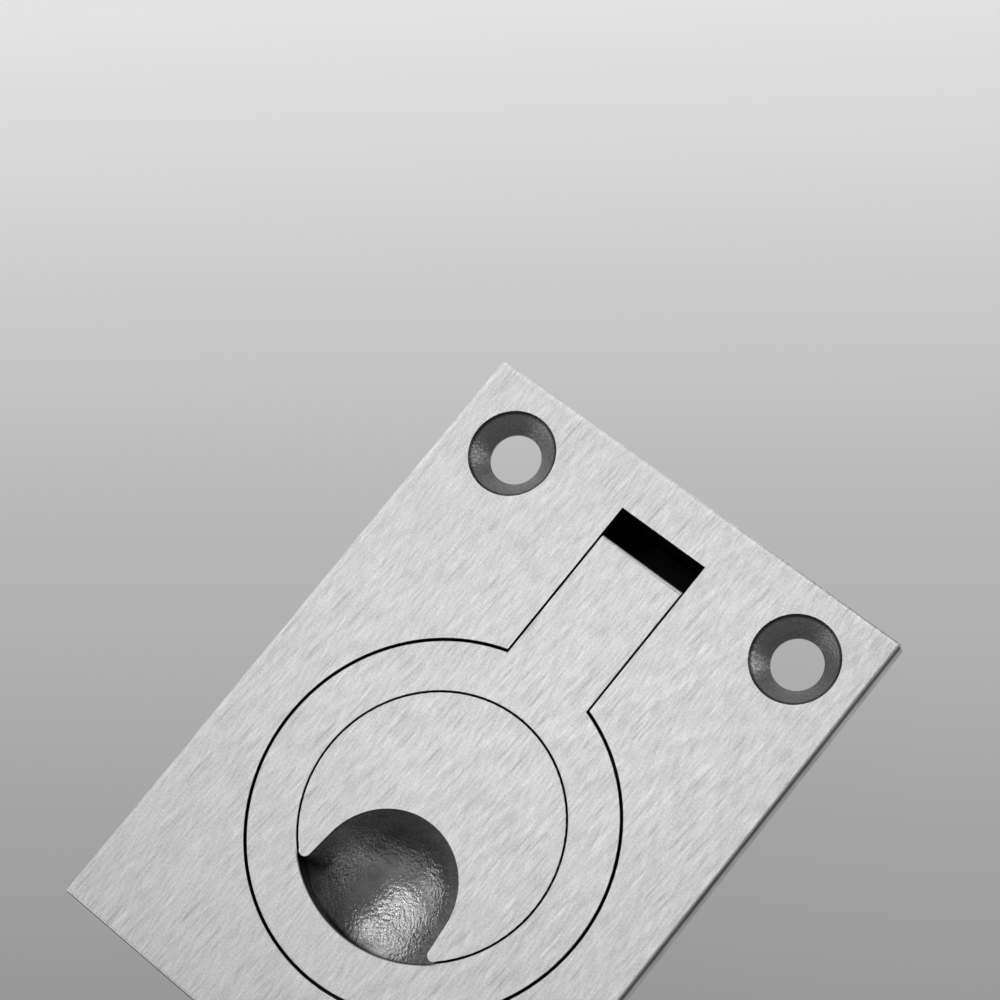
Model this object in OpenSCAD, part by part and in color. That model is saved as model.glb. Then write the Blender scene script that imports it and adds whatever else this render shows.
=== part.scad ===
// Flush ring pull: a cast plate let into a door or hatch, with a ring that lies level with its face.
// Each piece is drawn with the ring's centre at x = 0, y = 0 and the plate's face at z = 0, the
// hinge towards +Y and the housing below. placed() then moves it to the part's own frame, whose
// origin is under the middle of the plate at the back of the housing.

/* [Plate] */
// Width of the plate
plate_w = 48; // [46:1:60]
// Length of the plate
plate_l = 65; // [65:1:80]
// Thickness of the plate outside the housing
plate_t = 2; // [1.6:0.1:2.2]
// Rounding of the plate's edges at the face
plate_edge_r = 0.3; // [0.1:0.1:0.6]
// Rounding of the plate's corners
plate_corner_r = 0.4; // [0.2:0.1:1]
// Distance from the ring's centre to the edge of the plate opposite the hinge
foot_l = 25.9; // [24:0.1:30]
// Bevel that takes the sharpness off the edges at the gaps
edge_break = 0.05; // [0.02:0.01:0.15]

/* [Screw holes] */
// Diameter of the screw's clearance hole
screw_d = 5; // [4:0.1:5.2]
// Diameter of the countersink at the face
csk_d = 8.6; // [7.2:0.1:8.8]
// Distance from a hole's centre to the side edge and to the hinge end of the plate
hole_inset = 6.9; // [6:0.1:8]

/* [Ring] */
// Diameter of the hole in the ring, at the face
ring_hole_d = 25.5; // [24:0.1:27]
// Outer diameter of the ring, at the face
ring_outer_d = 35.1; // [33:0.1:36]
// Thickness of the ring and of its stem
ring_t = 3.8; // [3.2:0.1:4]
// Draft of the ring's outside and the stem's sides, which lets the ring swing out
ring_draft = 8; // [7:1:10]
// Draft of the hole in the ring
hole_draft = 2; // [1:0.5:6]
// Rounding of the ring's edges underneath
ring_round = 0.9; // [0.5:0.1:1.2]
// Width of the stem at the face
stem_w = 9.6; // [8:0.1:11]
// Rounding of the stem's end at the face
stem_end_r = 0.4; // [0.2:0.1:0.6]

/* [Hinge] */
// Distance from the ring's centre to the pin's axis
hinge_reach = 29; // [28:0.1:30]
// Diameter of the hinge pin
pin_d = 2.2; // [2:0.1:2.4]
// Depth of the pin's axis below the face
pin_depth = 3.5; // [3.3:0.1:3.7]
// Metal round the pin in the knuckle
knuckle_wall = 1; // [0.8:0.1:1.2]
// Angle to which the ring opens
open_angle = 110; // [90:5:115]
// Thickness of the housing's cheek on each side of the stem
cheek_t = 3; // [2.4:0.1:3.6]
// Depth of the pin's ends below the outside of the cheeks
pin_sink = 0.3; // [0.1:0.1:0.6]

/* [Recess] */
// Gap outside the ring, at the face
ring_gap = 0.25; // [0.2:0.05:0.35]
// Gap beside the stem, at the face
stem_gap = 0.15; // [0.15:0.05:0.3]
// Gap between the ring's hole and the island, at the face
hole_gap = 0.15; // [0.15:0.05:0.3]
// Gap under the ring when it is closed
seat_gap = 0.1; // [0.05:0.05:0.2]
// Thickness of the floor under the ring
floor_t = 1.6; // [1.2:0.1:2]
// Thickness of the housing's round wall and of the island's wall
wall_t = 2; // [1.6:0.1:2.4]
// Draft of the housing's outside
cast_draft = 3; // [1:1:5]
// Fillet of the housing into the plate, and rounding of its outer edges
cast_r = 0.8; // [0.4:0.1:1]

/* [Finger bowl] */
// Radius of the bowl's round end at the face
bowl_r = 7.15; // [6.5:0.05:7.4]
// Distance from the ring's centre to the middle of the bowl's round end
bowl_y = 7; // [6.5:0.1:8]
// Depth of the bowl
bowl_d = 7.4; // [6.5:0.1:8]
// Length by which the bowl is drawn out under the ring
bowl_run = 2.8; // [2:0.1:3]
// Angle at which each side of the bowl spreads towards the ring
bowl_flare = 6; // [2:1:8]
// Fullness of the bowl's section: 2 is an ellipse, more is squarer
bowl_fullness = 2.3; // [2.2:0.1:3.4]
// Rounding of the island's two tips beside the bowl
tip_r = 0.6; // [0.2:0.1:0.8]
// Thickness of the metal under the bowl and the hinge
bowl_floor = 1.6; // [1.2:0.1:2]

/* [Drag spring] */
// Width of the leaf
leaf_w = 6; // [5:0.1:7]
// Thickness of the leaf
leaf_t = 0.4; // [0.3:0.05:0.5]
// Outer radius of the leaf's bent toe
toe_r = 0.9; // [0.7:0.1:1.1]
// Length of the straight piece below the bend
toe_l = 0.6; // [0.3:0.1:0.8]
// Length of the leaf that lies flat on its seat
seat_l = 6.6; // [6.4:0.1:7]
// Free length from the seat to the bend
arm_l = 5.2; // [4.5:0.1:5.6]
// Diameter of the rivets
rivet_d = 1.5; // [1.2:0.1:1.6]
// Diameter of the rivets' heads
rivet_head_d = 2.8; // [2.4:0.1:3]
// Distance between the two rivets
rivet_pitch = 3.4; // [3.2:0.1:3.6]

/* [Hidden] */
$fn = 96;

// Clearances
pin_clearance = 0.05;
pin_press = 0.01;
leaf_clearance = 0.05;
leaf_side_gap = 0.2;
rivet_clearance = 0.05;
sweep_gap = 0.3;
stop_gap = 0.15;
over = 1;

// Ring and stem
ring_ro = ring_outer_d / 2;
ring_ri = ring_hole_d / 2;
stem_x = stem_w / 2;

// Recess
recess_r = ring_ro + ring_gap;
island_r = ring_ri - hole_gap;
slot_x = stem_x + stem_gap;
recess_d = ring_t + seat_gap;

// Hinge: the stem's square end swings down into the window behind it, and its face comes to
// rest against the window's far edge
knuckle_r = pin_d / 2 + knuckle_wall;
stem_end = hinge_reach + knuckle_r;
window_end = hinge_reach + pin_depth * tan(open_angle / 2) + stop_gap;
corner_r = norm([knuckle_r, pin_depth]);
corner_angle = atan2(pin_depth, knuckle_r);
hinge_d = pin_depth + corner_r * sin(min(open_angle - corner_angle, 90)) + sweep_gap;
hinge_start = hinge_reach - knuckle_r - toe_r - sweep_gap;

housing_d = max(bowl_d, hinge_d) + bowl_floor;

// Drag spring: its toe bears on the knuckle from in front and below
toe_angle = 130;
toe_reach = knuckle_r + leaf_clearance + toe_r;
toe_y = hinge_reach + toe_reach * cos(toe_angle);
leaf_top = pin_depth + toe_reach * sin(toe_angle) - toe_r;
leaf_y0 = toe_y - arm_l - seat_l;
channel_d = leaf_top + leaf_t;
channel_x = leaf_w / 2 + leaf_side_gap;
rivet_y = leaf_y0 + (seat_l - rivet_pitch) / 2;
rivet_head_h = 0.6;
rivet_tail_h = 0.4;
arm_relief = 0.5;

// Housing
cheek_x = slot_x + cheek_t;
stem_house_d = channel_d + arm_relief + floor_t;
stem_house_start = leaf_y0 - leaf_side_gap - wall_t;
hinge_house_start = hinge_start - wall_t;
hinge_house_end = window_end + wall_t;

// Place of the ring's centre in the part's own frame
ring_y = foot_l - plate_l / 2;

// Points of an arc about c, from angle a to angle b
function arc(c, r, a, b, n = 6) = [for (i = [0 : n]) c + r * [cos(a + (b - a) * i / n), sin(a + (b - a) * i / n)]];

// How far the middle of a rounding of radius r at depth t lies inside a side with a draft
function lean(t, r, draft) = (t - r - edge_break) * tan(draft) + r / cos(draft);

// Cross-section between x = a and x = b at the face: flat on top, drafted sides, round underneath
function bar_section(a, b, t, r, draft_a, draft_b) = concat(
    [[b - edge_break, 0], [b, -edge_break]],
    arc([b - lean(t, r, draft_b), r - t], r, -draft_b, -90),
    arc([a + lean(t, r, draft_a), r - t], r, -90, -180 + draft_a),
    [[a, -edge_break], [a + edge_break, 0]]
);

module placed() translate([0, ring_y, housing_d]) children();

// Extrudes a profile drawn in Y and Z across X, symmetrically
module across(w) translate([-w / 2, 0, 0]) rotate([90, 0, 90]) linear_extrude(w) children();

// Extrudes a profile drawn in X and Z from y = a to y = b
module along(a, b) translate([0, b, 0]) rotate([90, 0, 0]) linear_extrude(b - a) children();

// A block from y = a to y = b and from depth d0 to depth d1, centred on x = 0
module block(x, a, b, d0, d1) translate([-x, a, -d1]) cube([2 * x, b - a, d1 - d0]);

// An upright cylinder from depth d0 to depth d1
module shaft(r, d0, d1) translate([0, 0, -d1]) cylinder(h = d1 - d0, r = r);

// Rectangle whose two upper corners are rounded
module crowned(x0, x1, depth, r) {
    translate([x0, -depth]) square([x1 - x0, depth - r]);
    translate([x0 + r, -r - over / 2]) square([x1 - x0 - 2 * r, r + over / 2]);
    for (x = [x0 + r, x1 - r]) translate([x, -r]) circle(r);
}

module plate() {
    x = plate_w / 2 - plate_corner_r;
    foot = plate_corner_r - foot_l;
    head = plate_l - foot_l - plate_corner_r;
    intersection() {
        along(-foot_l, plate_l - foot_l) crowned(-plate_w / 2, plate_w / 2, plate_t, plate_edge_r);
        across(plate_w) crowned(-foot_l, plate_l - foot_l, plate_t, plate_edge_r);
        translate([0, 0, -plate_t - over]) linear_extrude(plate_t + 2 * over) polygon(concat(
            arc([x, head], plate_corner_r, 0, 90), arc([-x, head], plate_corner_r, 90, 180),
            arc([-x, foot], plate_corner_r, 180, 270), arc([x, foot], plate_corner_r, 270, 360)
        ));
    }
}

// Round part of the housing, with a fillet into the plate and rounded lower edge
module round_housing() {
    r = recess_r + wall_t;
    d = recess_d + floor_t;
    foot = r - (d - plate_t) * tan(cast_draft);
    rotate_extrude() polygon(concat(
        [[0, -plate_t / 2], [r + cast_r, -plate_t / 2]],
        arc([r + cast_r, -plate_t - cast_r], cast_r, 90, 180),
        arc([foot - cast_r, cast_r - d], cast_r, 0, -90),
        [[0, -d]]
    ));
}

// Tapered block with rounded upright edges, from y = a to y = b, down to depth d
module tapered_block(x, a, b, d) {
    lean = (d - plate_t) * tan(cast_draft);
    hull() for (sx = [-1, 1], y = [a, b]) {
        sy = (y == a) ? 1 : -1;
        translate([sx * (x - cast_r), y + sy * cast_r, -plate_t]) cylinder(h = plate_t / 2, r = cast_r, $fn = 32);
        translate([sx * (x - cast_r - lean), y + sy * (cast_r + lean), cast_r - d]) sphere(cast_r, $fn = 32);
    }
}

// Half of the bowl's section: a superellipse that meets the face squarely, grown by a wall
function bowl_half(grow) = [for (i = [0 : 14]) let (a = 90 * i / 14, e = 2 / bowl_fullness)
    [(bowl_r + grow) * pow(cos(a), e), -(bowl_d + grow) * pow(sin(a), e)]];

// Cup with a round end, drawn out towards the ring along each flared side
module bowl(grow = 0) {
    half = concat([[0, over], [bowl_r + grow, over]], bowl_half(grow));
    for (s = [-1, 1]) translate([0, -bowl_y, 0]) rotate(s * bowl_flare) {
        for (y = [0, -bowl_run]) translate([0, y, 0]) rotate_extrude() polygon(half);
        along(-bowl_run, 0) {
            polygon(half);
            mirror([1, 0]) polygon(half);
        }
    }
}

// Middle of the island's rounded tip on the +X side, tangent to the bowl's side and to the rim
side_dir = [sin(bowl_flare), -cos(bowl_flare)];
side_normal = [cos(bowl_flare), sin(bowl_flare)];
tip_foot = [0, -bowl_y] + (bowl_r + tip_r) * side_normal;
tip_run = sqrt(pow(tip_foot * side_dir, 2) - tip_foot * tip_foot + pow(island_r - tip_r, 2)) - tip_foot * side_dir;
tip = tip_foot + tip_run * side_dir;

// Wedge of the island that lies past the rounded tip
module tip_waste() {
    side = tip - 3 * tip_r * side_normal;
    translate([0, 0, -recess_d]) linear_extrude(recess_d + over)
        polygon([tip, side, side + 6 * tip_r * side_dir, tip * (1 + 6 * tip_r / island_r)]);
}

// Round island that fills the ring, with its tips rounded beside the bowl
module island() {
    difference() {
        union() {
            shaft(island_r, edge_break, recess_d + floor_t);
            translate([0, 0, -edge_break]) cylinder(h = edge_break, r1 = island_r, r2 = island_r - edge_break);
        }
        tip_waste();
        mirror([1, 0, 0]) tip_waste();
    }
    for (s = [-1, 1]) translate([s * tip[0], tip[1], 0]) shaft(tip_r, 0, recess_d + floor_t);
}

// Keyhole recess for the ring and its stem, with the window behind the stem
module keyhole() {
    shaft(recess_r, -over, recess_d);
    block(slot_x, 0, window_end, -over, recess_d);
    translate([0, 0, -edge_break]) cylinder(h = edge_break + over, r1 = recess_r, r2 = recess_r + edge_break + over);
    intersection() {
        along(0, window_end + edge_break) polygon([
            [-slot_x, -edge_break], [slot_x, -edge_break],
            [slot_x + edge_break + over, over], [-slot_x - edge_break - over, over]
        ]);
        across(plate_w) polygon([
            [0, -edge_break], [window_end, -edge_break],
            [window_end + edge_break + over, over], [0, over]
        ]);
    }
}

// Pocket under the knuckle and the channel that holds the drag spring
module hinge_pocket() {
    block(slot_x, hinge_start, window_end, 0, hinge_d);
    block(channel_x, leaf_y0 - leaf_side_gap, hinge_start + over, 0, channel_d);
    block(channel_x, leaf_y0 + seat_l, hinge_start + over, 0, channel_d + arm_relief);
}

module screw_hole() {
    cone_d = (csk_d - screw_d) / 2;
    shaft(screw_d / 2, -over, plate_t + over);
    translate([0, 0, -cone_d]) cylinder(h = cone_d + over, r1 = screw_d / 2, r2 = csk_d / 2 + over);
}

// Hollow of the casting behind the island
module island_core() {
    difference() {
        shaft(island_r - wall_t, plate_t, housing_d + over);
        bowl(wall_t);
    }
}

// A cylinder on the pin's axis
module on_pin(r, l) translate([-l / 2, hinge_reach, -pin_depth]) rotate([0, 90, 0]) cylinder(h = l, r = r);

module body() {
    color([0.80, 0.80, 0.79]) placed() difference() {
        union() {
            difference() {
                union() {
                    plate();
                    round_housing();
                    tapered_block(cheek_x, stem_house_start, hinge_start, stem_house_d);
                    tapered_block(cheek_x, hinge_house_start, hinge_house_end, housing_d);
                    intersection() {
                        bowl(wall_t);
                        shaft(recess_r + wall_t, plate_t, housing_d);
                    }
                }
                keyhole();
            }
            island();
        }
        hinge_pocket();
        bowl();
        island_core();
        on_pin(pin_d / 2 - pin_press, 2 * cheek_x + over);
        for (s = [-1, 1]) translate([s * (plate_w / 2 - hole_inset), plate_l - foot_l - hole_inset, 0]) screw_hole();
        for (i = [0, 1]) translate([0, rivet_y + i * rivet_pitch, 0])
            shaft(rivet_d / 2 + rivet_clearance, channel_d - over, housing_d);
    }
}

// The stem's end: a knuckle round the pin, squared off at the face
module knuckle() {
    intersection() {
        across(stem_w) union() {
            translate([hinge_reach, -pin_depth]) circle(knuckle_r);
            polygon(concat(
                [[hinge_reach - knuckle_r, -pin_depth], [hinge_reach - knuckle_r, 0]],
                arc([stem_end - stem_end_r, -stem_end_r], stem_end_r, 90, 0),
                [[stem_end, -pin_depth]]
            ));
        }
        along(hinge_reach - knuckle_r - over, stem_end + over) polygon([
            [-stem_x, -housing_d], [stem_x, -housing_d], [stem_x, -edge_break], [stem_x - edge_break, 0],
            [edge_break - stem_x, 0], [-stem_x, -edge_break]
        ]);
    }
}

module ring_handle() {
    color([0.79, 0.79, 0.78]) placed() difference() {
        union() {
            rotate_extrude() polygon(bar_section(ring_ri, ring_ro, ring_t, ring_round, hole_draft, ring_draft));
            along((ring_ri + ring_ro) / 2, hinge_reach)
                polygon(bar_section(-stem_x, stem_x, ring_t, ring_round, ring_draft, ring_draft));
            knuckle();
        }
        on_pin(pin_d / 2 + pin_clearance, stem_w + 2 * over);
    }
}

// Straight pin, driven in from the side, with bevelled ends
module hinge_pin() {
    l = 2 * (cheek_x - pin_sink);
    bevel = pin_d / 8;
    color([0.62, 0.62, 0.63]) placed() translate([-l / 2, hinge_reach, -pin_depth]) rotate([0, 90, 0])
        rotate_extrude() polygon([
            [0, 0], [pin_d / 2 - bevel, 0], [pin_d / 2, bevel],
            [pin_d / 2, l - bevel], [pin_d / 2 - bevel, l], [0, l]
        ]);
}

// Flat leaf with a toe bent down over a quarter turn
module drag_spring() {
    toe_z = -leaf_top - toe_r;
    color([0.55, 0.52, 0.45]) placed() difference() {
        across(leaf_w) union() {
            translate([leaf_y0, -leaf_top - leaf_t]) square([toe_y - leaf_y0, leaf_t]);
            intersection() {
                translate([toe_y, toe_z]) difference() {
                    circle(toe_r);
                    circle(toe_r - leaf_t);
                }
                translate([toe_y, toe_z]) square(toe_r);
            }
            translate([toe_y + toe_r - leaf_t, toe_z - toe_l]) square([leaf_t, toe_l]);
        }
        for (i = [0, 1]) translate([0, rivet_y + i * rivet_pitch, 0])
            shaft(rivet_d / 2 + rivet_clearance, leaf_top - over, channel_d + over);
    }
}

// Round-headed rivets, closed with a low tail under the housing
module spring_rivets() {
    head_r = rivet_head_d / 2;
    color([0.66, 0.66, 0.66]) placed() for (i = [0, 1]) translate([0, rivet_y + i * rivet_pitch, 0])
        rotate_extrude() polygon([
            [0, rivet_head_h - leaf_top], [head_r - rivet_head_h, rivet_head_h - leaf_top],
            [head_r, rivet_head_h / 3 - leaf_top], [head_r, -leaf_top],
            [rivet_d / 2, -leaf_top], [rivet_d / 2, -stem_house_d],
            [head_r - rivet_tail_h, -stem_house_d], [head_r - 2 * rivet_tail_h, -stem_house_d - rivet_tail_h],
            [0, -stem_house_d - rivet_tail_h]
        ]);
}

body();
ring_handle();
hinge_pin();
drag_spring();
spring_rivets();
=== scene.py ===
"""Looks of a flush ring pull: a cast plate with a hinged ring that lies level with its brushed face.

Everything is in metres, with +Z out of the face and +Y along the plate towards the hinge. The part
lies on its back, as it stands in its own frame.
"""

from math import pi, radians

import bmesh
import bpy
import numpy as np
from bpy.props import FloatProperty, FloatVectorProperty, PointerProperty
from mathutils import Euler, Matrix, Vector


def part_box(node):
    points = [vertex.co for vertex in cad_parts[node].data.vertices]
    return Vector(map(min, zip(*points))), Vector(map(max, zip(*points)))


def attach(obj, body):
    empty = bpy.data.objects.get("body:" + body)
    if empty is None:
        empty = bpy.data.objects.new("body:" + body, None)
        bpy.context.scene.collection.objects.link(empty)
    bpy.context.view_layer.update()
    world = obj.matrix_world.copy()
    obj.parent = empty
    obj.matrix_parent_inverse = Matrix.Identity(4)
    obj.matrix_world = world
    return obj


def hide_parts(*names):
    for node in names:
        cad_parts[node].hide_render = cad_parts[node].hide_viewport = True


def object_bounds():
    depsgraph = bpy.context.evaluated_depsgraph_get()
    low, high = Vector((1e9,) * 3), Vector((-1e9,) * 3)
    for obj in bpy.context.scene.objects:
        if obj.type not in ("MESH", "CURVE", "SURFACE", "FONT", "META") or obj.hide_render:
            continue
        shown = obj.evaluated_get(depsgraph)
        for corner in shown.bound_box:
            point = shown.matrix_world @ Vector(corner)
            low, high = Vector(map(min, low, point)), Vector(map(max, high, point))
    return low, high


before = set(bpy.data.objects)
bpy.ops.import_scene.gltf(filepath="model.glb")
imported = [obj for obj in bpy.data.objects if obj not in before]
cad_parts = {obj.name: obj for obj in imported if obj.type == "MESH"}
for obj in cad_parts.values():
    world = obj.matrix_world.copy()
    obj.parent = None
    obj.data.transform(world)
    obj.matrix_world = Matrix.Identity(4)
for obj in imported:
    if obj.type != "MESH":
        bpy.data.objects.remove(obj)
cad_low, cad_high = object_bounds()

bl_info = {
    "name": "Flush ring pull",
    "version": (1, 0, 0),
    "blender": (4, 5, 0),
    "location": "View3D > Sidebar > Ring pull",
    "description": "Gives a flush ring pull its brushed, cast and turned surfaces and its stage",
    "category": "Object",
}

MM = 0.001
PLATE_FACE = cad_high.z
PLATE_UNDERSIDE = PLATE_FACE - 2.0 * MM
# Depth below the face that the rounded edges of the plate and the ring reach
EDGE_DEPTH = 0.35 * MM
# How far the bowl's mouth, where it meets the ring, spreads past the bowl's radius
MOUTH_SPREAD = 2.0 * MM
# Doubled points of a CAD mesh lie closer together than this
WELD_DISTANCE = 2e-7
# Angles between faces below which a CAD piece and a turned piece are shaded smooth
CAD_SMOOTH_ANGLE = radians(28)
TURNED_SMOOTH_ANGLE = radians(35)
# Distance of every lamp from the frame's origin
LAMP_DISTANCE = 0.5
# Places of the plate's materials in its list, which the face rules give
CAST, BRUSHED, BOWL, CONE, SHADE_BLACK = range(5)


class PlateSettings(bpy.types.PropertyGroup):
    """Places on the plate that take different finishes, and the colours of those finishes."""

    ring_centre_y: FloatProperty(
        name="Ring centre",
        description="Place of the recess's centre along the plate",
        default=-6.6 * MM,
        unit="LENGTH",
    )
    recess_radius: FloatProperty(
        name="Recess radius",
        description="Radius of the round recess that holds the ring",
        default=17.8 * MM,
        unit="LENGTH",
    )
    ring_hole_radius: FloatProperty(
        name="Ring hole radius",
        description="Radius of the hole of the ring",
        default=12.75 * MM,
        unit="LENGTH",
    )
    recess_floor: FloatProperty(
        name="Recess floor",
        description="Height of the floor under the ring",
        default=5.1 * MM,
        unit="LENGTH",
    )
    slot_half_width: FloatProperty(
        name="Slot half width",
        description="Half the width of the slot that holds the stem",
        default=4.95 * MM,
        unit="LENGTH",
    )
    window_end: FloatProperty(
        name="Window end",
        description="Place of the window's far edge along the plate",
        default=27.55 * MM,
        unit="LENGTH",
    )
    bowl_centre_y: FloatProperty(
        name="Bowl centre",
        description="Place of the finger bowl's round end along the plate",
        default=-13.6 * MM,
        unit="LENGTH",
    )
    bowl_radius: FloatProperty(
        name="Bowl radius",
        description="Radius of the finger bowl at the face",
        default=7.15 * MM,
        unit="LENGTH",
    )
    screw_x: FloatProperty(
        name="Screw hole offset",
        description="Distance of each screw hole from the plate's middle line",
        default=17.1 * MM,
        unit="LENGTH",
    )
    screw_y: FloatProperty(
        name="Screw hole row",
        description="Place of the screw holes along the plate",
        default=25.6 * MM,
        unit="LENGTH",
    )
    countersink_radius: FloatProperty(
        name="Countersink radius",
        description="Radius of the countersinks at the face",
        default=4.3 * MM,
        unit="LENGTH",
    )
    face_colour: FloatVectorProperty(
        name="Brushed face",
        description="Colour of the brushed metal",
        default=(0.74, 0.74, 0.735),
        subtype="COLOR",
        min=0.0,
        max=1.0,
    )
    bowl_colour: FloatVectorProperty(
        name="Finger bowl",
        description="Colour of the cast skin in the finger bowl",
        default=(0.76, 0.76, 0.76),
        subtype="COLOR",
        min=0.0,
        max=1.0,
    )
    cone_colour: FloatVectorProperty(
        name="Countersinks",
        description="Colour of the countersinks and the screw holes",
        default=(0.30, 0.30, 0.30),
        subtype="COLOR",
        min=0.0,
        max=1.0,
    )
    # The ring's skin colour is dark as painted shade, so that the ring's walls read as shade down the gaps
    # beside its face
    ring_wall_shade_colour: FloatVectorProperty(
        name="Ring skin",
        description="Colour of the dark cast skin on the ring's walls and underside",
        default=(0.10, 0.10, 0.10),
        subtype="COLOR",
        min=0.0,
        max=1.0,
    )
    # The recess colour is painted shade: black that stands for the shade in the recess, its gaps and the
    # hinge pocket
    recess_shade_colour: FloatVectorProperty(
        name="Recess",
        description="Colour of the blackened skin in the recess and the hinge pocket",
        default=(0.03, 0.03, 0.03),
        subtype="COLOR",
        min=0.0,
        max=1.0,
    )
    cast_colour: FloatVectorProperty(
        name="Cast skin",
        description="Colour of the plate's sides and of the back",
        default=(0.80, 0.80, 0.79),
        subtype="COLOR",
        min=0.0,
        max=1.0,
    )


class BrushSettings(bpy.types.PropertyGroup):
    """Strokes of the brushed finish, shared by the plate and the ring so that they run on."""

    stroke_length: FloatProperty(
        name="Stroke length",
        description="Length over which a stroke keeps its tone",
        default=3.2 * MM,
        unit="LENGTH",
    )
    stroke_width: FloatProperty(
        name="Stroke width",
        description="Width of a stroke",
        default=0.25 * MM,
        unit="LENGTH",
    )
    stroke_lean: FloatProperty(
        name="Lean",
        description="Angle between the strokes and the plate's length",
        default=radians(-4.5),
        subtype="ANGLE",
        unit="ROTATION",
    )
    stroke_crossing: FloatProperty(
        name="Crossing",
        description="Angle between the crossing sets of strokes",
        default=radians(21.0),
        subtype="ANGLE",
        unit="ROTATION",
    )
    stroke_depth: FloatProperty(
        name="Stroke depth",
        description="Height of the strokes' relief",
        default=0.002 * MM,
        unit="LENGTH",
        precision=6,
    )
    roughness: FloatProperty(
        name="Roughness",
        description="Mean roughness of the brushed face",
        default=0.42,
        subtype="FACTOR",
        min=0.0,
        max=1.0,
    )


class HingeSettings(bpy.types.PropertyGroup):
    """Sizes and colours of the pin, the drag spring and its rivets."""

    pin_radius: FloatProperty(
        name="Pin radius",
        description="Radius of the hinge pin",
        default=1.1 * MM,
        unit="LENGTH",
    )
    pin_colour: FloatVectorProperty(
        name="Pin",
        description="Colour of the ground hinge pin",
        default=(0.60, 0.60, 0.61),
        subtype="COLOR",
        min=0.0,
        max=1.0,
    )
    spring_colour: FloatVectorProperty(
        name="Spring",
        description="Colour of the spring strip",
        default=(0.55, 0.50, 0.42),
        subtype="COLOR",
        min=0.0,
        max=1.0,
    )
    rivet_colour: FloatVectorProperty(
        name="Rivets",
        description="Colour of the rivets",
        default=(0.64, 0.64, 0.64),
        subtype="COLOR",
        min=0.0,
        max=1.0,
    )


class StageSettings(bpy.types.PropertyGroup):
    """Camera, floor, lamps and the light all round."""

    camera_place: FloatVectorProperty(
        name="Camera place",
        description="Place of the camera",
        default=(0.08887, -0.01436, 0.26690),
        subtype="TRANSLATION",
        unit="LENGTH",
    )
    camera_turn: FloatVectorProperty(
        name="Camera turn",
        description="Turn of the camera about X, Y and Z",
        default=(radians(19.626), radians(12.371), radians(40.049)),
        subtype="EULER",
        unit="ROTATION",
    )
    camera_lens: FloatProperty(
        name="Lens",
        description="Focal length in millimetres on a sensor 36 mm wide",
        default=106.93,
        min=1.0,
    )
    floor_near: FloatVectorProperty(
        name="Floor at the bottom",
        description="Tone of the floor at the bottom of the picture",
        default=(0.328, 0.328, 0.328),
        subtype="COLOR",
        min=0.0,
        max=1.0,
    )
    floor_middle: FloatVectorProperty(
        name="Floor in the middle",
        description="Tone of the floor in the middle of the picture",
        default=(0.515, 0.515, 0.515),
        subtype="COLOR",
        min=0.0,
        max=1.0,
    )
    floor_far: FloatVectorProperty(
        name="Floor at the top",
        description="Tone of the floor at the top of the picture",
        default=(0.80, 0.80, 0.80),
        subtype="COLOR",
        min=0.0,
        max=1.0,
    )
    sky_level: FloatProperty(
        name="Light overhead",
        description="Strength of the surrounding light overhead",
        default=0.18,
        min=0.0,
    )
    horizon_level: FloatProperty(
        name="Light at the horizon",
        description="Strength of the surrounding light at the horizon",
        default=0.45,
        min=0.0,
    )
    key_power: FloatProperty(
        name="Key lamp",
        description="Power of the lamp above the part, which is longer along the plate than across",
        default=0.218,
        min=0.0,
        subtype="POWER",
        unit="POWER",
    )
    side_power: FloatProperty(
        name="Side lamp",
        description="Power of the broad lamp at the upper left of the picture",
        default=0.32,
        min=0.0,
        subtype="POWER",
        unit="POWER",
    )
    low_power: FloatProperty(
        name="Low lamps",
        description="Power of the low lamp at the picture's left; the one at its top has 0.9 of it",
        default=0.40,
        min=0.0,
        subtype="POWER",
        unit="POWER",
    )
    rim_power: FloatProperty(
        name="Rim lamp",
        description="Power of the low lamp at the picture's right",
        default=0.24,
        min=0.0,
        subtype="POWER",
        unit="POWER",
    )


def shader_node(tree, kind, links=None, **settings):
    """Adds a node; settings name its properties, links its inputs by name or number.

    A link is another node's output socket, or a plain value for the input.
    """
    made = tree.nodes.new(kind)
    for name, value in settings.items():
        setattr(made, name, value)
    for name, value in (links or {}).items():
        if isinstance(value, bpy.types.NodeSocket):
            tree.links.new(value, made.inputs[name])
        else:
            made.inputs[name].default_value = value
    return made


def new_material(name):
    """A material with an empty node tree, and its output node."""
    material = bpy.data.materials.new(name)
    material.use_nodes = True
    material.node_tree.nodes.clear()
    return material, material.node_tree, material.node_tree.nodes.new("ShaderNodeOutputMaterial")


def scaled_noise(tree, size, turn=0.0, detail=2.0, roughness=0.5, shift=(0.0, 0.0, 0.0)):
    """Noise whose grains measure size = (x, y, z) in metres, turned about Z, on Object coordinates."""
    place = shader_node(tree, "ShaderNodeTexCoord").outputs["Object"]
    mapped = shader_node(
        tree,
        "ShaderNodeMapping",
        {
            "Vector": place,
            "Location": shift,
            "Rotation": (0.0, 0.0, turn),
            "Scale": size,
        },
        vector_type="TEXTURE",
    )
    return shader_node(
        tree,
        "ShaderNodeTexNoise",
        {"Vector": mapped.outputs[0], "Scale": 1.0, "Detail": detail, "Roughness": roughness},
    ).outputs["Fac"]


def remap(tree, value, low, high, to_low, to_high):
    """Straight-line change of range, held at its ends."""
    return shader_node(
        tree,
        "ShaderNodeMapRange",
        {"Value": value, "From Min": low, "From Max": high, "To Min": to_low, "To Max": to_high},
    ).outputs["Result"]


def combine(tree, operation, a, b):
    """One step of arithmetic on two values or sockets."""
    return shader_node(tree, "ShaderNodeMath", {0: a, 1: b}, operation=operation).outputs[0]


def object_place(tree):
    """The X, Y and Z sockets of a point's place in the part's own frame."""
    place = shader_node(tree, "ShaderNodeTexCoord").outputs["Object"]
    return shader_node(tree, "ShaderNodeSeparateXYZ", {0: place}).outputs


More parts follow.
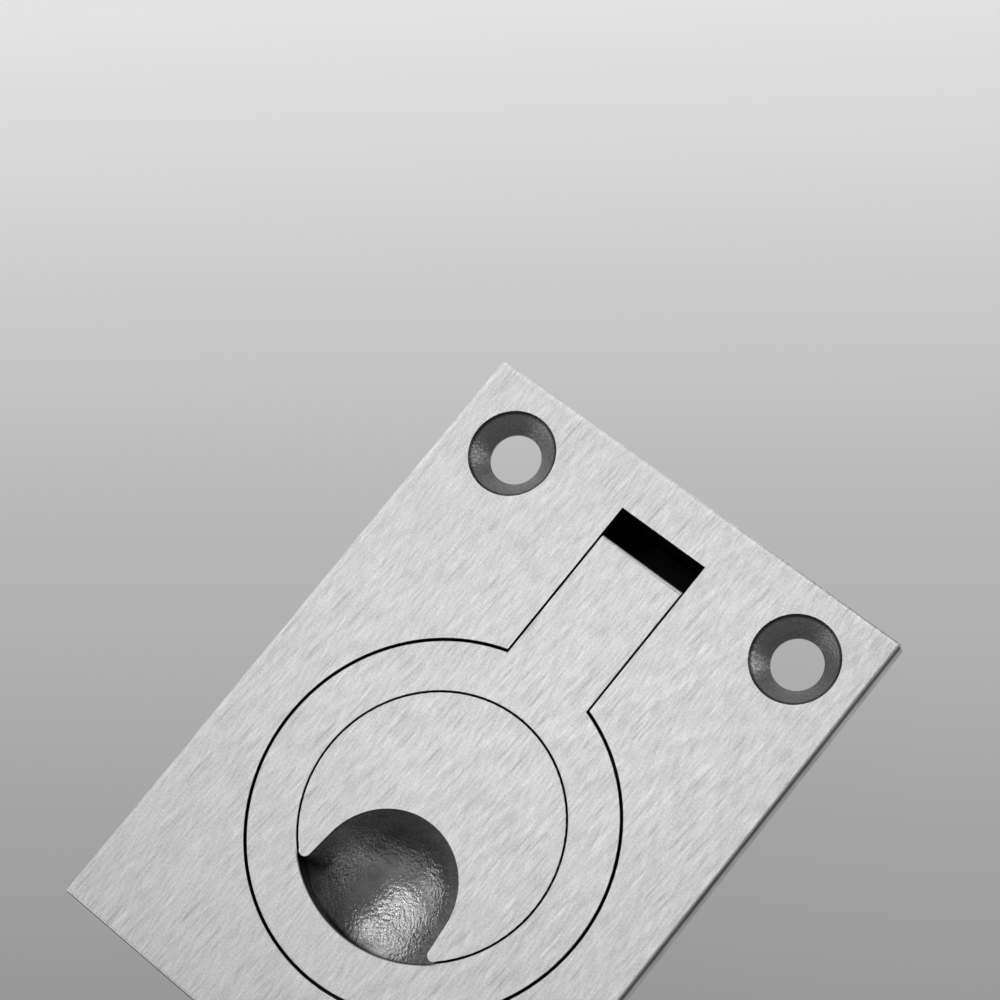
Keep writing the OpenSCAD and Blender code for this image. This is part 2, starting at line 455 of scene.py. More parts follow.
def distance_in_plan(tree, x, y, centre_y):
    """Distance, seen from above, between a point and the place (0, centre_y)."""
    along = combine(tree, "SUBTRACT", y, centre_y)
    offset = shader_node(tree, "ShaderNodeCombineXYZ", {"X": x, "Y": along}).outputs[0]
    return shader_node(tree, "ShaderNodeVectorMath", {0: offset}, operation="LENGTH").outputs["Value"]


def tinted(tree, colour, factor):
    """A colour made darker or lighter by a factor socket."""
    return shader_node(
        tree,
        "ShaderNodeVectorMath",
        {0: tuple(colour[:3]), "Scale": factor},
        operation="SCALE",
    ).outputs[0]


def metal(tree, output, colour, roughness, height, depth, metallic=1.0):
    """Metallic shader whose relief is a height socket, depth metres from its lowest to its highest."""
    relief = shader_node(
        tree,
        "ShaderNodeBump",
        {"Strength": 1.0, "Distance": depth, "Height": height},
    )
    shader = shader_node(
        tree,
        "ShaderNodeBsdfPrincipled",
        {"Base Color": colour, "Roughness": roughness, "Normal": relief.outputs[0], "Metallic": metallic},
    )
    tree.links.new(shader.outputs[0], output.inputs["Surface"])


def layered(tree, layers, level=1.0):
    """Sum of noise layers about a level: level + share * (noise - 0.5) for each (noise, share)."""
    total = level - sum(share for _, share in layers) / 2
    for noise, share in layers:
        terms = {0: noise, 1: share, 2: total}
        total = shader_node(tree, "ShaderNodeMath", terms, operation="MULTIPLY_ADD").outputs[0]
    return total


def bowl_edge_shade(tree, plate):
    """Factor of painted shade that blackens the very edge of the ring's hole where it passes the bowl."""
    x, y, _ = object_place(tree)
    hole, bowl = plate.ring_hole_radius, plate.bowl_radius
    out = distance_in_plan(tree, x, y, plate.ring_centre_y)
    away = distance_in_plan(tree, x, y, plate.bowl_centre_y)
    edge = remap(tree, out, hole + 0.08 * MM, hole + 0.22 * MM, 0.08, 1.0)
    far = remap(tree, away, bowl + 1.5 * MM, bowl + 2.0 * MM, 0.0, 1.0)
    return combine(tree, "MAXIMUM", edge, far)


def painted_edge_highlight(tree):
    """Factor of painted highlight that brightens the plate's left side and its hinge end."""
    x, y, _ = object_place(tree)
    left = remap(tree, x, cad_low.x + 0.7 * MM, cad_low.x + 0.1 * MM, 1.0, 1.16)
    end = remap(tree, y, cad_high.y - 0.7 * MM, cad_high.y - 0.1 * MM, 1.0, 1.16)
    return combine(tree, "MAXIMUM", left, end)


def brushed_metal(name, colour, brush, ringside=None):
    """Brushed metal: crossing sets of strokes, a fine grain, sparse scratches and a faint cloudy tone.

    The ring passes the plate's settings as ringside, and its edge is then black with painted shade beside
    the bowl.
    """
    material, tree, output = new_material(name)
    width, length = brush.stroke_width, brush.stroke_length
    lean, cross = brush.stroke_lean, brush.stroke_crossing / 2
    fine = scaled_noise(tree, (width, length * 0.5, length), lean + cross, 1.0, 0.5)
    long = scaled_noise(tree, (width * 1.8, length, length), lean - cross, 1.0, 0.5, (3 * MM, 2 * MM, 0.0))
    grain = scaled_noise(tree, (width * 0.8, width * 0.8, width), 0.0, 1.0, 0.5, (5 * MM, 1 * MM, 0.0))
    scratch = scaled_noise(tree, (width * 0.8, length * 1.6, length), lean, 0.0, 0.0, (7 * MM, 5 * MM, 0.0))
    cloud = scaled_noise(tree, (3.0 * MM, 5.0 * MM, 5.0 * MM), 0.2, 2.0, 0.5, (1 * MM, 2 * MM, 3 * MM))
    bright = remap(tree, scratch, 0.68, 0.76, 0.0, 0.10)
    dark = remap(tree, scratch, 0.32, 0.24, 0.0, 0.14)
    layers = [(fine, 0.35), (long, 0.13), (grain, 0.40), (cloud, 0.06), (bright, 1.0), (dark, -1.0)]
    tone = layered(tree, layers)
    # Painted shade on the ring's edge beside the bowl
    if ringside is not None:
        tone = combine(tree, "MULTIPLY", tone, bowl_edge_shade(tree, ringside))
    # Painted highlight along the plate's left side and hinge end
    tone = combine(tree, "MULTIPLY", tone, painted_edge_highlight(tree))
    height = layered(tree, [(fine, 0.5), (long, 0.5), (grain, 0.2)], 0.5)
    rough = remap(tree, height, 0.3, 0.7, brush.roughness + 0.03, brush.roughness - 0.03)
    metal(tree, output, tinted(tree, colour, tone), rough, height, brush.stroke_depth)
    return material


def rim_shade(tree, depth, least=0.2):
    """Painted shade: falls from 1 at a depth below the plate's face to the least at half that depth."""
    return remap(tree, object_place(tree)["Z"], PLATE_FACE - depth, PLATE_FACE - depth / 2, 1.0, least)


def ring_shade_and_light(tree, plate):
    """Bowl skin factor: painted shade under the ring and beside it on the left, painted light to the right.

    The dark crescent beside the ring starts where the distance from the ring's centre plus 0.11 times x
    reaches the hole's radius, so it is wide on the left and runs out past the middle. The tone rises
    across the bowl along x + y.
    """
    x, y, _ = object_place(tree)
    hole = plate.ring_hole_radius
    out = distance_in_plan(tree, x, y, plate.ring_centre_y)
    # Painted shade near the ring's hole edge on the left
    near = remap(tree, out, hole - 2.4 * MM, hole - 0.2 * MM, 0.0, 0.8)
    left = remap(tree, x, -6.0 * MM, 1.0 * MM, 1.0, 0.0)
    beside = combine(tree, "SUBTRACT", 1.0, combine(tree, "MULTIPLY", near, left))
    slanted = combine(tree, "ADD", out, combine(tree, "MULTIPLY", x, 0.11))
    # Painted shade: the dark crescent beside the ring's edge
    crescent = remap(tree, slanted, hole - 0.5 * MM, hole - 0.1 * MM, 1.0, 0.1)
    past_crescent = remap(tree, x, 2.5 * MM, 4.5 * MM, 0.0, 1.0)
    beside = combine(tree, "MULTIPLY", beside, combine(tree, "MAXIMUM", crescent, past_crescent))
    # Painted shade under the ring
    under = remap(tree, out, hole + 0.3 * MM, hole + 2.5 * MM, 1.0, 0.2)
    # Painted light: the bowl's skin grows lighter towards the right
    across = combine(tree, "ADD", x, combine(tree, "SUBTRACT", y, plate.bowl_centre_y))
    rise = remap(tree, across, -8.0 * MM, 8.0 * MM, 0.5, 1.2)
    return combine(tree, "MULTIPLY", rise, combine(tree, "MINIMUM", beside, under))


def pebbled_metal(name, colour, grain, depth, roughness, plate):
    """Glossy skin of the bowl as it comes from the mould, with small rounded grains."""
    material, tree, output = new_material(name)
    pebbles = scaled_noise(tree, (grain, grain * 1.5, grain), radians(35), 2.0, 0.55)
    broad = scaled_noise(tree, (grain * 6, grain * 6, grain * 6), 0.0, 2.0, 0.5, (2.0, 5.0, 1.0))
    tone = remap(tree, broad, 0.3, 0.7, 0.82, 1.18)
    rough = remap(tree, pebbles, 0.3, 0.7, roughness + 0.08, roughness - 0.06)
    height = combine(tree, "ADD", pebbles, combine(tree, "MULTIPLY", broad, 0.8))
    # Painted shade just below the bowl's rim
    tone = combine(tree, "MULTIPLY", tone, rim_shade(tree, 0.4 * MM))
    # Painted shade under and beside the ring, and painted light towards the right
    tone = combine(tree, "MULTIPLY", tone, ring_shade_and_light(tree, plate))
    metal(tree, output, tinted(tree, colour, tone), rough, height, depth, 0.86)
    return material


def blasted_metal(name, colour, grain=0.09 * MM, depth=0.02 * MM, roughness=0.55):
    """Dull cast skin with a fine even grain, cloudy patches and painted shade just below the plate's face.

    The hinge end gets no painted shade.
    """
    material, tree, output = new_material(name)
    grains = scaled_noise(tree, (grain, grain, grain), 0.0, 2.0, 0.6)
    patches = scaled_noise(tree, (2.5 * MM, 2.5 * MM, 2.5 * MM), 0.0, 3.0, 0.55, (4.0, 0.0, 2.0))
    fine = remap(tree, grains, 0.25, 0.75, 0.9, 1.1)
    cloudy = remap(tree, patches, 0.3, 0.7, 0.86, 1.1)
    rough = remap(tree, patches, 0.3, 0.7, roughness + 0.06, roughness - 0.06)
    # Painted shade on the sides just below the face, left out at the hinge end
    end = remap(tree, object_place(tree)["Y"], cad_high.y - 0.5 * MM, cad_high.y - 0.3 * MM, 0.0, 1.0)
    shade = combine(tree, "MAXIMUM", rim_shade(tree, 1.0 * MM, 0.25), end)
    tone = combine(tree, "MULTIPLY", combine(tree, "MULTIPLY", fine, cloudy), shade)
    metal(tree, output, tinted(tree, colour, tone), rough, grains, depth)
    return material


def recess_shade_metal(name, colour, mouth_colour, mouth_y, mouth_radius, floor_z):
    """Dull black painted shade, with another colour within a radius of the bowl's middle.

    The recess floor is the lightest. The walls above it and the hinge pocket below are darker painted
    shade.
    """
    material, tree, output = new_material(name)
    x, y, z = object_place(tree)
    away = distance_in_plan(tree, x, y, mouth_y)
    share = remap(tree, away, mouth_radius, mouth_radius + 2.0 * MM, 0.0, 1.0)
    grains = scaled_noise(tree, (0.09 * MM, 0.09 * MM, 0.09 * MM), 0.0, 2.0, 0.6)
    # Painted shade: the bowl's colour darkened where the bowl's mouth meets the recess
    mouth = tuple(0.09 * part for part in mouth_colour[:3])
    blend = shader_node(
        tree,
        "ShaderNodeMix",
        {"Factor": share, "A": (*mouth, 1.0), "B": (*colour[:3], 1.0)},
        data_type="RGBA",
    ).outputs["Result"]
    # Painted shade: the walls above the recess floor and the hinge pocket below it are darker than the
    # floor
    wall = remap(tree, z, floor_z + 0.1 * MM, floor_z + 1.2 * MM, 3.6, 1.0)
    pocket = remap(tree, z, floor_z - 0.3 * MM, floor_z - 0.1 * MM, 0.4, 3.6)
    height = combine(tree, "MINIMUM", wall, pocket)
    factor = combine(tree, "MULTIPLY", height, remap(tree, grains, 0.25, 0.75, 0.85, 1.15))
    scaled = shader_node(tree, "ShaderNodeVectorMath", {0: blend, "Scale": factor}, operation="SCALE")
    rough = remap(tree, grains, 0.3, 0.7, 0.5, 0.62)
    metal(tree, output, scaled.outputs[0], rough, grains, 0.02 * MM)
    return material


def turned_metal(name, colour, centres_x, centre_y):
    """Turned metal: fine rings round the axis of each hole, with mottled dark patches.

    The distance from the nearer of two axes comes from the absolute value of x.
    """
    material, tree, output = new_material(name)
    x, y, _ = object_place(tree)
    across = combine(tree, "SUBTRACT", combine(tree, "ABSOLUTE", x, 0.0), centres_x)
    distance = distance_in_plan(tree, across, y, centre_y)
    scaled = combine(tree, "MULTIPLY", distance, 1.0 / (0.11 * MM))
    rings = shader_node(
        tree, "ShaderNodeTexNoise", {"W": scaled, "Scale": 1.0, "Detail": 2.0}, noise_dimensions="1D"
    ).outputs["Fac"]
    mottle = scaled_noise(tree, (0.28 * MM, 0.28 * MM, 0.28 * MM), 0.0, 2.0, 0.6, (3.0, 1.0, 0.0))
    patches = remap(tree, mottle, 0.3, 0.7, 0.88, 1.14)
    tone = combine(tree, "MULTIPLY", patches, remap(tree, rings, 0.3, 0.7, 0.94, 1.06))
    rough = remap(tree, mottle, 0.3, 0.7, 0.38, 0.24)
    height = combine(tree, "ADD", combine(tree, "MULTIPLY", rings, 0.2), mottle)
    # Painted shade just below the countersinks' rims
    tone = combine(tree, "MULTIPLY", tone, rim_shade(tree, 0.34 * MM))
    metal(tree, output, tinted(tree, colour, tone), rough, height, 0.07 * MM, 0.9)
    return material


def ground_metal(name, colour, grain, roughness=0.28, depth=0.004 * MM):
    """Ground or rolled metal: fine lines whose grains measure grain = (x, y, z)."""
    material, tree, output = new_material(name)
    lines = scaled_noise(tree, grain, 0.0, 2.0, 0.5)
    tone = remap(tree, lines, 0.3, 0.7, 0.9, 1.07)
    rough = remap(tree, lines, 0.3, 0.7, roughness + 0.08, roughness - 0.05)
    metal(tree, output, tinted(tree, colour, tone), rough, lines, depth)
    return material


def welded_copy(node, name):
    """A copy of a CAD node at the origin, with its doubled points merged and its round faces smooth.

    Faces square to an axis stay flat, whatever lies beside them.
    """
    square_to_axis = 0.99999
    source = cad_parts[node]
    mesh = source.data.copy()
    mesh.name = name
    work = bmesh.new()
    work.from_mesh(mesh)
    bmesh.ops.remove_doubles(work, verts=work.verts, dist=WELD_DISTANCE)
    work.to_mesh(mesh)
    work.free()
    mesh.shade_smooth()
    mesh.set_sharp_from_angle(angle=CAD_SMOOTH_ANGLE)
    flat = np.abs(face_centres_and_normals(mesh)[1]).max(axis=1) > square_to_axis
    mesh.polygons.foreach_set("use_smooth", ~flat)
    mesh.materials.clear()
    piece = bpy.data.objects.new(name, mesh)
    bpy.context.scene.collection.objects.link(piece)
    weighted = piece.modifiers.new("Even shading", "WEIGHTED_NORMAL")
    weighted.keep_sharp = True
    weighted.weight = 100
    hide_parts(node)
    return piece


def face_centres_and_normals(mesh):
    """Middle and normal of every face, as two arrays of rows."""
    count = len(mesh.polygons)
    centres = np.empty(count * 3, np.float32)
    normals = np.empty(count * 3, np.float32)
    mesh.polygons.foreach_get("center", centres)
    mesh.polygons.foreach_get("normal", normals)
    return centres.reshape(-1, 3), normals.reshape(-1, 3)


def lathe(profile, axis_point, axis, around=48):
    """Surface of a profile of (radius, height) rows turned about an axis.

    A point is axis_point + height * axis + radius * (cos a * u + sin a * v), where u and v are square
    to the axis. The rows at radius 0 are the poles, one point each.
    """
    axis = np.asarray(axis, float)
    u = np.cross(axis, (0.0, 0.0, 1.0) if abs(axis[2]) < 0.9 else (1.0, 0.0, 0.0))
    u /= np.linalg.norm(u)
    v = np.cross(axis, u)
    profile = np.asarray(profile, float)
    angle = 2 * pi * np.arange(around) / around
    spoke = np.cos(angle)[:, None] * u + np.sin(angle)[:, None] * v
    rings = profile[1:-1]
    body = axis_point + rings[:, 1, None, None] * axis + rings[:, 0, None, None] * spoke
    ends = axis_point + profile[[0, -1], 1, None] * axis
    points = np.concatenate([body.reshape(-1, 3), ends])
    row = np.arange(len(rings) - 1)[:, None] * around
    step = np.arange(around)
    after = (step + 1) % around
    quads = np.stack([row + step, row + after, row + around + after, row + around + step], -1)
    first, last = len(points) - 2, len(points) - 1
    top = (len(rings) - 1) * around
    start_fan = np.stack([np.full(around, first), after, step], -1)
    end_fan = np.stack([np.full(around, last), top + step, top + after], -1)
    return points, quads.reshape(-1, 4).tolist() + start_fan.tolist() + end_fan.tolist()


def mesh_piece(name, points, faces):
    """A mesh object at the origin from points and faces, with outward normals."""
    mesh = bpy.data.meshes.new(name)
    mesh.from_pydata(np.asarray(points).tolist(), [], faces)
    work = bmesh.new()
    work.from_mesh(mesh)
    bmesh.ops.recalc_face_normals(work, faces=work.faces)
    work.to_mesh(mesh)
    work.free()
    mesh.shade_smooth()
    mesh.set_sharp_from_angle(angle=TURNED_SMOOTH_ANGLE)
    piece = bpy.data.objects.new(name, mesh)
    bpy.context.scene.collection.objects.link(piece)
    return piece


def rounded(points, radius, steps=5):
    """Rounds the corners between the two ends of an open profile.

    Each corner gives way to points on a quadratic curve between the two places that lie a radius
    before and after it: (1 - s)^2 * back + 2 * s * (1 - s) * corner + s^2 * ahead, for s from 0 to 1.
    """
    points = np.asarray(points, float)
    share = np.linspace(0.0, 1.0, steps)[:, None]
    rows = [points[:1]]
    for before, corner, after in zip(points[:-2], points[1:-1], points[2:]):
        back = corner + (before - corner) * min(0.49, radius / np.linalg.norm(before - corner))
        ahead = corner + (after - corner) * min(0.49, radius / np.linalg.norm(after - corner))
        rows.append((1 - share) ** 2 * back + 2 * share * (1 - share) * corner + share**2 * ahead)
    rows.append(points[-1:])
    return np.concatenate(rows)


def plate_finishes(mesh, plate):
    """Place in the material list for every face of the plate casting, from where it lies and looks.

    The face and its rounded edges are brushed and the bowl is pebbled, also where it runs on under the
    ring. The countersinks and screw holes are turned, the recess and the hinge pocket are black, and
    all else is cast.
    """
    low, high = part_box("body")
    slot_start, slot_bottom, bowl_bottom, hollow_radius = 5.0 * MM, 1.3 * MM, 1.2 * MM, 10.7 * MM
    middle, normal = face_centres_and_normals(mesh)
    x, y, z = middle.T
    upward = normal[:, 2]
    from_ring = np.hypot(x, y - plate.ring_centre_y)
    from_screw = np.hypot(np.abs(x) - plate.screw_x, y - plate.screw_y)
    from_bowl = np.hypot(x, y - plate.bowl_centre_y)

    screw = (from_screw < plate.countersink_radius + 0.05 * MM) & (z > PLATE_UNDERSIDE + 0.01 * MM)
    at_face = z > PLATE_FACE - EDGE_DEPTH
    # The steep rounding on the left side and the hinge end takes the brushed finish as a painted highlight;
    # on the other sides it stays cast skin with painted shade
    painted_highlight_edge = (x < low.x + 0.5 * MM) | (y > high.y - 0.5 * MM)
    face = at_face & (upward > 0.75) & (~screw | (upward > 0.99))
    face |= at_face & (upward > 0.05) & painted_highlight_edge

    in_mouth = (y < plate.bowl_centre_y) & (np.abs(x) < plate.bowl_radius + MOUTH_SPREAD)
    in_mouth &= from_ring < plate.ring_hole_radius - 0.05 * MM
    inside_bowl = (from_bowl < plate.bowl_radius + 0.2 * MM) | in_mouth
    # The flat ledge at the recess floor is kept out of the bowl, so it takes the black painted shade
    ledge = (upward > 0.999) & (np.abs(z - plate.recess_floor) < 0.02 * MM)
    bowl = inside_bowl & (upward > -0.02) & (z > bowl_bottom) & (z < PLATE_FACE) & ~ledge
    inside_recess = from_ring < plate.recess_radius + 0.05 * MM
    below_floor = (z > bowl_bottom) & (z < plate.recess_floor - 0.01 * MM) & (y < plate.ring_centre_y)
    bowl |= inside_recess & below_floor & (upward > 0.03)

    # The recess, the hinge pocket and the flat ledge take the black painted shade
    recess = inside_recess & (z > plate.recess_floor - 0.05 * MM)
    recess &= (from_ring >= hollow_radius) | inside_bowl
    pocket = (np.abs(x) < plate.slot_half_width + 0.1 * MM) & (z > slot_bottom) & (upward > -0.1)
    pocket &= (y > slot_start) & (y < plate.window_end + 0.3 * MM)
    return np.select([screw & ~face, face, bowl, recess | pocket], [CONE, BRUSHED, BOWL, SHADE_BLACK], CAST)


class RINGPULL_OT_plate(bpy.types.Operator):
    """Dresses the plate casting: brushed face, pebbled bowl, turned countersinks, dull sides and back"""

    bl_idname = "ringpull.plate"
    bl_label = "Plate casting"

    def execute(self, context):
        plate = context.scene.ringpull_plate
        brush = context.scene.ringpull_brush
        mouth = (plate.bowl_colour, plate.bowl_centre_y, plate.bowl_radius + MOUTH_SPREAD)
        pebble, pebble_depth = 0.25 * MM, 0.08 * MM
        piece = welded_copy("body", "plate_casting")
        mesh = piece.data
        finishes = {
            CAST: blasted_metal("cast_skin", plate.cast_colour),
            BRUSHED: brushed_metal("brushed_plate", plate.face_colour, brush),
            BOWL: pebbled_metal("finger_bowl_skin", plate.bowl_colour, pebble, pebble_depth, 0.20, plate),
            CONE: turned_metal("countersink_turned", plate.cone_colour, plate.screw_x, plate.screw_y),
            # The recess and the hinge pocket get black painted shade
            SHADE_BLACK: recess_shade_metal("recess_black", plate.recess_shade_colour, *mouth, plate.recess_floor),
        }
        for place in sorted(finishes):
            mesh.materials.append(finishes[place])
        mesh.polygons.foreach_set("material_index", plate_finishes(mesh, plate).astype(np.int32))
        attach(piece, "housing")
        return {"FINISHED"}


class RINGPULL_OT_ring(bpy.types.Operator):
    """Dresses the ring handle: brushed on its face, cast on its sides and underneath"""

    bl_idname = "ringpull.ring"
    bl_label = "Ring handle"

    def execute(self, context):
        plate = context.scene.ringpull_plate
        brush = context.scene.ringpull_brush
        piece = welded_copy("ring_handle", "pull_ring")
        mesh = piece.data
        # The ring's walls and underside are dark as painted shade
        mesh.materials.append(blasted_metal("ring_cast_skin", plate.ring_wall_shade_colour, roughness=0.45))
        mesh.materials.append(brushed_metal("brushed_ring", plate.face_colour, brush, ringside=plate))
        middle, normal = face_centres_and_normals(mesh)
        face = (middle[:, 2] > PLATE_FACE - EDGE_DEPTH) & (normal[:, 2] > 0.35)
        mesh.polygons.foreach_set("material_index", face.astype(np.int32))
        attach(piece, "ring")
        return {"FINISHED"}


class RINGPULL_OT_pin(bpy.types.Operator):
    """Turns the hinge pin: a ground rod with rounded bevels at both ends"""

    bl_idname = "ringpull.pin"
    bl_label = "Hinge pin"

    def execute(self, context):
        hinge = context.scene.ringpull_hinge
        low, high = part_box("hinge_pin")
        length, r = high.x - low.x, hinge.pin_radius
        bevel, edge_radius = r / 4, 0.06 * MM
        outline = rounded(
            [(0, 0), (r - bevel, 0), (r, bevel), (r, length - bevel), (r - bevel, length), (0, length)],
            edge_radius,
        )
        start = np.array([low.x, (low.y + high.y) / 2, (low.z + high.z) / 2])
        piece = mesh_piece("pivot_pin", *lathe(outline, start, (1.0, 0.0, 0.0), 64))
        grain = (0.08 * MM, 1.5 * MM, 1.5 * MM)
        piece.data.materials.append(ground_metal("pin_ground", hinge.pin_colour, grain))
        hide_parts("hinge_pin")
        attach(piece, "housing")
        return {"FINISHED"}


class RINGPULL_OT_spring(bpy.types.Operator):
    """Dresses the drag spring as rolled strip"""

    bl_idname = "ringpull.spring"
    bl_label = "Drag spring"

    def execute(self, context):
        hinge = context.scene.ringpull_hinge
        piece = welded_copy("drag_spring", "leaf_spring")
        grain = (0.05 * MM, 2.0 * MM, 2.0 * MM)
        surface = ground_metal("spring_rolled", hinge.spring_colour, grain, roughness=0.33)
        piece.data.materials.append(surface)
        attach(piece, "housing")
        return {"FINISHED"}


class RINGPULL_OT_rivets(bpy.types.Operator):
    """Turns the two rivets: domed head above the leaf, pressed tail under the housing"""

    bl_idname = "ringpull.rivets"
    bl_label = "Spring rivets"

    def execute(self, context):
        hinge = context.scene.ringpull_hinge
        low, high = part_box("spring_rivets")
        head_r, shank_r = (high.x - low.x) / 2, 0.75 * MM
        head_h, tail_h = 0.6 * MM, 0.4 * MM
        height = high.z - low.z
        dome = np.linspace(0.0, pi / 2, 9)
        head = np.column_stack([head_r * np.sin(dome), height - head_h + head_h * np.cos(dome)])
        shank = [(head_r, height - head_h), (shank_r, height - head_h), (shank_r, tail_h)]
        tail_r = head_r - tail_h
        tail = [(tail_r, tail_h), (tail_r, tail_h * 0.5), (tail_r * 0.6, 0.0), (0.0, 0.0)]
        outline = np.concatenate([head, shank, tail])
        parts, faces = [], []
        for y in (low.y + head_r, high.y - head_r):
            points, these = lathe(outline, np.array([0.0, y, low.z]), (0.0, 0.0, 1.0), 40)
            first = sum(len(p) for p in parts)
            faces += [[first + i for i in face] for face in these]
            parts.append(points)
        piece = mesh_piece("leaf_rivets", np.concatenate(parts), faces)
        grain = (0.2 * MM, 0.2 * MM, 0.2 * MM)
        surface = ground_metal("rivet_steel", hinge.rivet_colour, grain, roughness=0.35)
        piece.data.materials.append(surface)
        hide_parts("spring_rivets")
        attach(piece, "housing")
        return {"FINISHED"}


def floor_material(stage, start, along):
    """Pale floor whose tone falls along one direction, plain to the camera and lit for all else.

    It is clear from below, so that the back of the part can be looked at.
    The share along the direction is the distance from start divided by the direction's length.
    """
    material, tree, output = new_material("floor_paper")
    place = shader_node(tree, "ShaderNodeTexCoord").outputs["Object"]
    step = along / along.length**2
    moved = shader_node(tree, "ShaderNodeVectorMath", {0: place, 1: tuple(start)}, operation="SUBTRACT")
    terms = {0: moved.outputs[0], 1: tuple(step)}
    share = shader_node(tree, "ShaderNodeVectorMath", terms, operation="DOT_PRODUCT").outputs["Value"]
    ramp = shader_node(tree, "ShaderNodeValToRGB", {"Fac": share})
    stops = ramp.color_ramp.elements
    stops[0].color = (*stage.floor_near, 1.0)
    stops[1].color = (*stage.floor_far, 1.0)
    middle = stops.new(0.5)
    middle.color = (*stage.floor_middle, 1.0)
    tone = ramp.outputs["Color"]
    paper = shader_node(tree, "ShaderNodeBsdfDiffuse", {"Color": tone})
    glow = shader_node(tree, "ShaderNodeEmission", {"Color": tone, "Strength": 1.0})
    rays = shader_node(tree, "ShaderNodeLightPath")
    seen = combine(tree, "MAXIMUM", rays.outputs["Is Camera Ray"], rays.outputs["Is Glossy Ray"])
    seen = combine(tree, "MAXIMUM", seen, rays.outputs["Is Transmission Ray"])
    plain_share = 0.93
    mix = shader_node(
        tree,
        "ShaderNodeMixShader",
        {"Fac": combine(tree, "MULTIPLY", seen, plain_share), 1: paper.outputs[0], 2: glow.outputs[0]},
    )
    below = shader_node(tree, "ShaderNodeNewGeometry").outputs["Backfacing"]
    clear = shader_node(tree, "ShaderNodeBsdfTransparent")
    shown = shader_node(tree, "ShaderNodeMixShader", {"Fac": below, 1: mix.outputs[0], 2: clear.outputs[0]})
    tree.links.new(shown.outputs[0], output.inputs["Surface"])
    return material


def ray_to_floor(camera, across, up):
    """Where the camera's ray through a place of the picture (-0.5 to 0.5 each way) meets z = 0."""
    turn = camera.rotation_euler.to_matrix()
    wide = camera.data.sensor_width / camera.data.lens
    ray = turn @ Vector((across * wide, up * wide, -1.0))
    return camera.location - ray * (camera.location.z / ray.z)


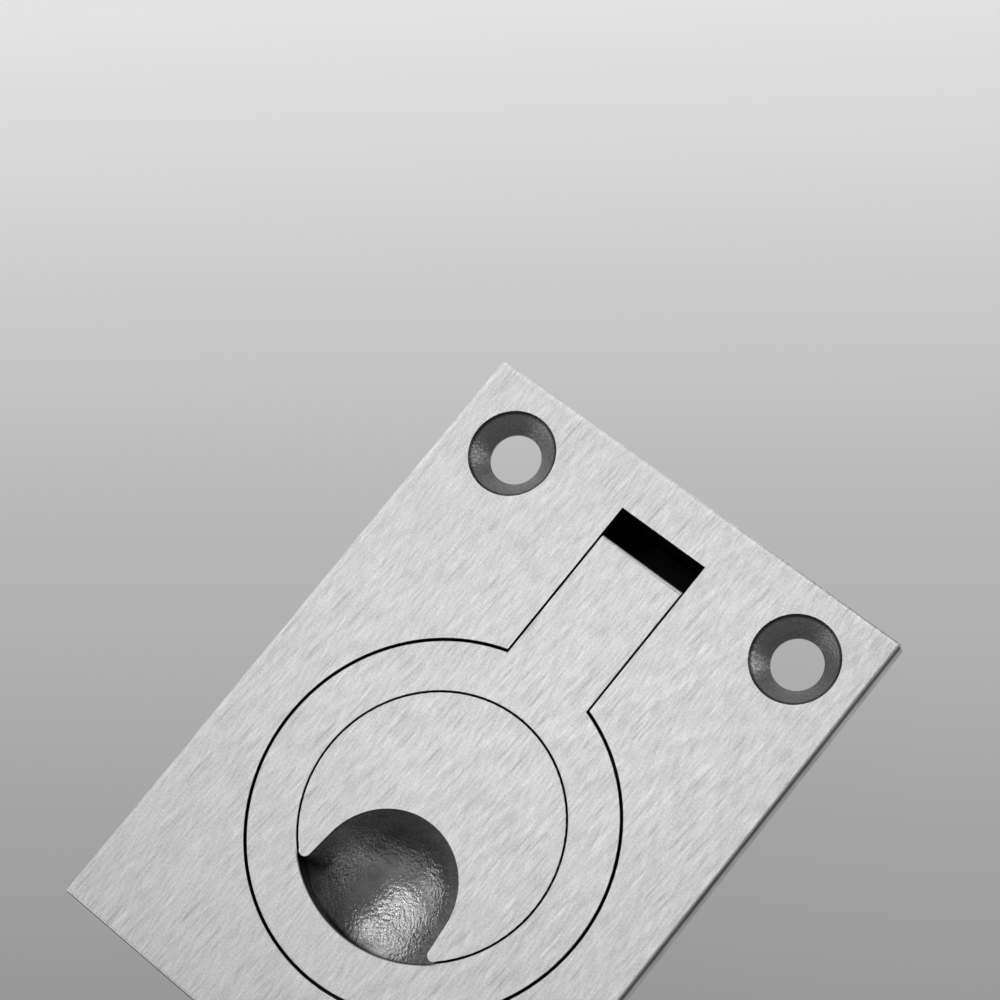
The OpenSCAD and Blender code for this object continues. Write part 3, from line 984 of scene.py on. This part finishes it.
class RINGPULL_OT_stage(bpy.types.Operator):
    """Makes the camera, the pale floor, the plain light all round and the lamps"""

    bl_idname = "ringpull.stage"
    bl_label = "Stage"

    def execute(self, context):
        scene = context.scene
        stage = scene.ringpull_stage
        lens = bpy.data.cameras.new("picture_camera")
        lens.sensor_width = 36.0
        lens.lens = stage.camera_lens
        lens.clip_start, lens.clip_end = 0.01, 20.0
        camera = bpy.data.objects.new("picture_camera", lens)
        camera.location = stage.camera_place
        camera.rotation_euler = Euler(stage.camera_turn)
        scene.collection.objects.link(camera)
        scene.camera = camera

        bottom, top = ray_to_floor(camera, 0.0, -0.5), ray_to_floor(camera, 0.0, 0.5)
        row = (ray_to_floor(camera, 0.5, 0.0) - ray_to_floor(camera, -0.5, 0.0)).normalized()
        climb = (top - bottom) - row * (top - bottom).dot(row)
        half, low = 3.0, -0.02 * MM
        corners = [(-half, -half, low), (half, -half, low), (half, half, low), (-half, half, low)]
        floor = bpy.data.meshes.new("floor")
        floor.from_pydata(corners, [], [(0, 1, 2, 3)])
        floor.materials.append(floor_material(stage, bottom, climb))
        floor_object = bpy.data.objects.new("floor", floor)
        scene.collection.objects.link(floor_object)

        world = bpy.data.worlds.new("plain_light")
        world.use_nodes = True
        sky = world.node_tree.nodes["Background"]
        sky.inputs["Color"].default_value = (1.0, 1.0, 1.0, 1.0)
        facing = shader_node(world.node_tree, "ShaderNodeTexCoord").outputs["Generated"]
        upward = shader_node(world.node_tree, "ShaderNodeSeparateXYZ", {0: facing}).outputs["Z"]
        overhead = 0.35
        level = remap(world.node_tree, upward, 0.0, overhead, stage.horizon_level, stage.sky_level)
        world.node_tree.links.new(level, sky.inputs["Strength"])
        scene.world = world

        picture_up = (top - bottom).normalized()
        picture_right = picture_up.cross(Vector((0.0, 0.0, 1.0))).normalized()
        for name, lean_up, lean_right, rise, length, width, power in (
            ("key_lamp", 0.26, -0.115, 0.95, 0.30, 0.12, stage.key_power),
            ("side_lamp", 0.62, -0.44, 0.62, 0.40, 0.40, stage.side_power),
            ("left_lamp", -0.05, -0.93, 0.36, 0.45, 0.45, stage.low_power),
            ("back_lamp", 0.85, 0.20, 0.45, 0.45, 0.45, stage.low_power * 0.9),
            ("rim_lamp", 0.28, 0.92, 0.18, 0.16, 0.16, stage.rim_power),
        ):
            light = bpy.data.lights.new(name, "AREA")
            light.shape = "ELLIPSE"
            light.size, light.size_y = length, width
            light.energy = power
            lamp = bpy.data.objects.new(name, light)
            toward = picture_up * lean_up + picture_right * lean_right + Vector((0.0, 0.0, rise))
            toward.normalize()
            lamp.location = toward * LAMP_DISTANCE
            lamp.rotation_euler = toward.to_track_quat("Z", "Y").to_euler()
            scene.collection.objects.link(lamp)

        scene.view_settings.view_transform = "Standard"
        return {"FINISHED"}


STEPS = (
    RINGPULL_OT_stage,
    RINGPULL_OT_plate,
    RINGPULL_OT_ring,
    RINGPULL_OT_pin,
    RINGPULL_OT_spring,
    RINGPULL_OT_rivets,
)
GROUPS = {
    "ringpull_plate": PlateSettings,
    "ringpull_brush": BrushSettings,
    "ringpull_hinge": HingeSettings,
    "ringpull_stage": StageSettings,
}


class RINGPULL_PT_sidebar(bpy.types.Panel):
    """Lists the settings and the steps"""

    bl_idname = "RINGPULL_PT_sidebar"
    bl_label = "Flush ring pull"
    bl_space_type = "VIEW_3D"
    bl_region_type = "UI"
    bl_category = "Ring pull"

    def draw(self, context):
        for attribute, group in GROUPS.items():
            box = self.layout.box()
            box.label(text=attribute.split("_")[1].capitalize())
            for name in group.__annotations__:
                box.prop(getattr(context.scene, attribute), name)
        for step in STEPS:
            self.layout.operator(step.bl_idname)


def register():
    for kind in (*GROUPS.values(), *STEPS, RINGPULL_PT_sidebar):
        bpy.utils.register_class(kind)
    for attribute, group in GROUPS.items():
        setattr(bpy.types.Scene, attribute, PointerProperty(type=group))


def unregister():
    for attribute in GROUPS:
        delattr(bpy.types.Scene, attribute)
    for kind in reversed((*GROUPS.values(), *STEPS, RINGPULL_PT_sidebar)):
        bpy.utils.unregister_class(kind)


def main():
    register()
    bpy.ops.ringpull.stage()
    bpy.ops.ringpull.plate()
    bpy.ops.ringpull.ring()
    bpy.ops.ringpull.pin()
    bpy.ops.ringpull.spring()
    bpy.ops.ringpull.rivets()


if __name__ == "__main__":
    main()
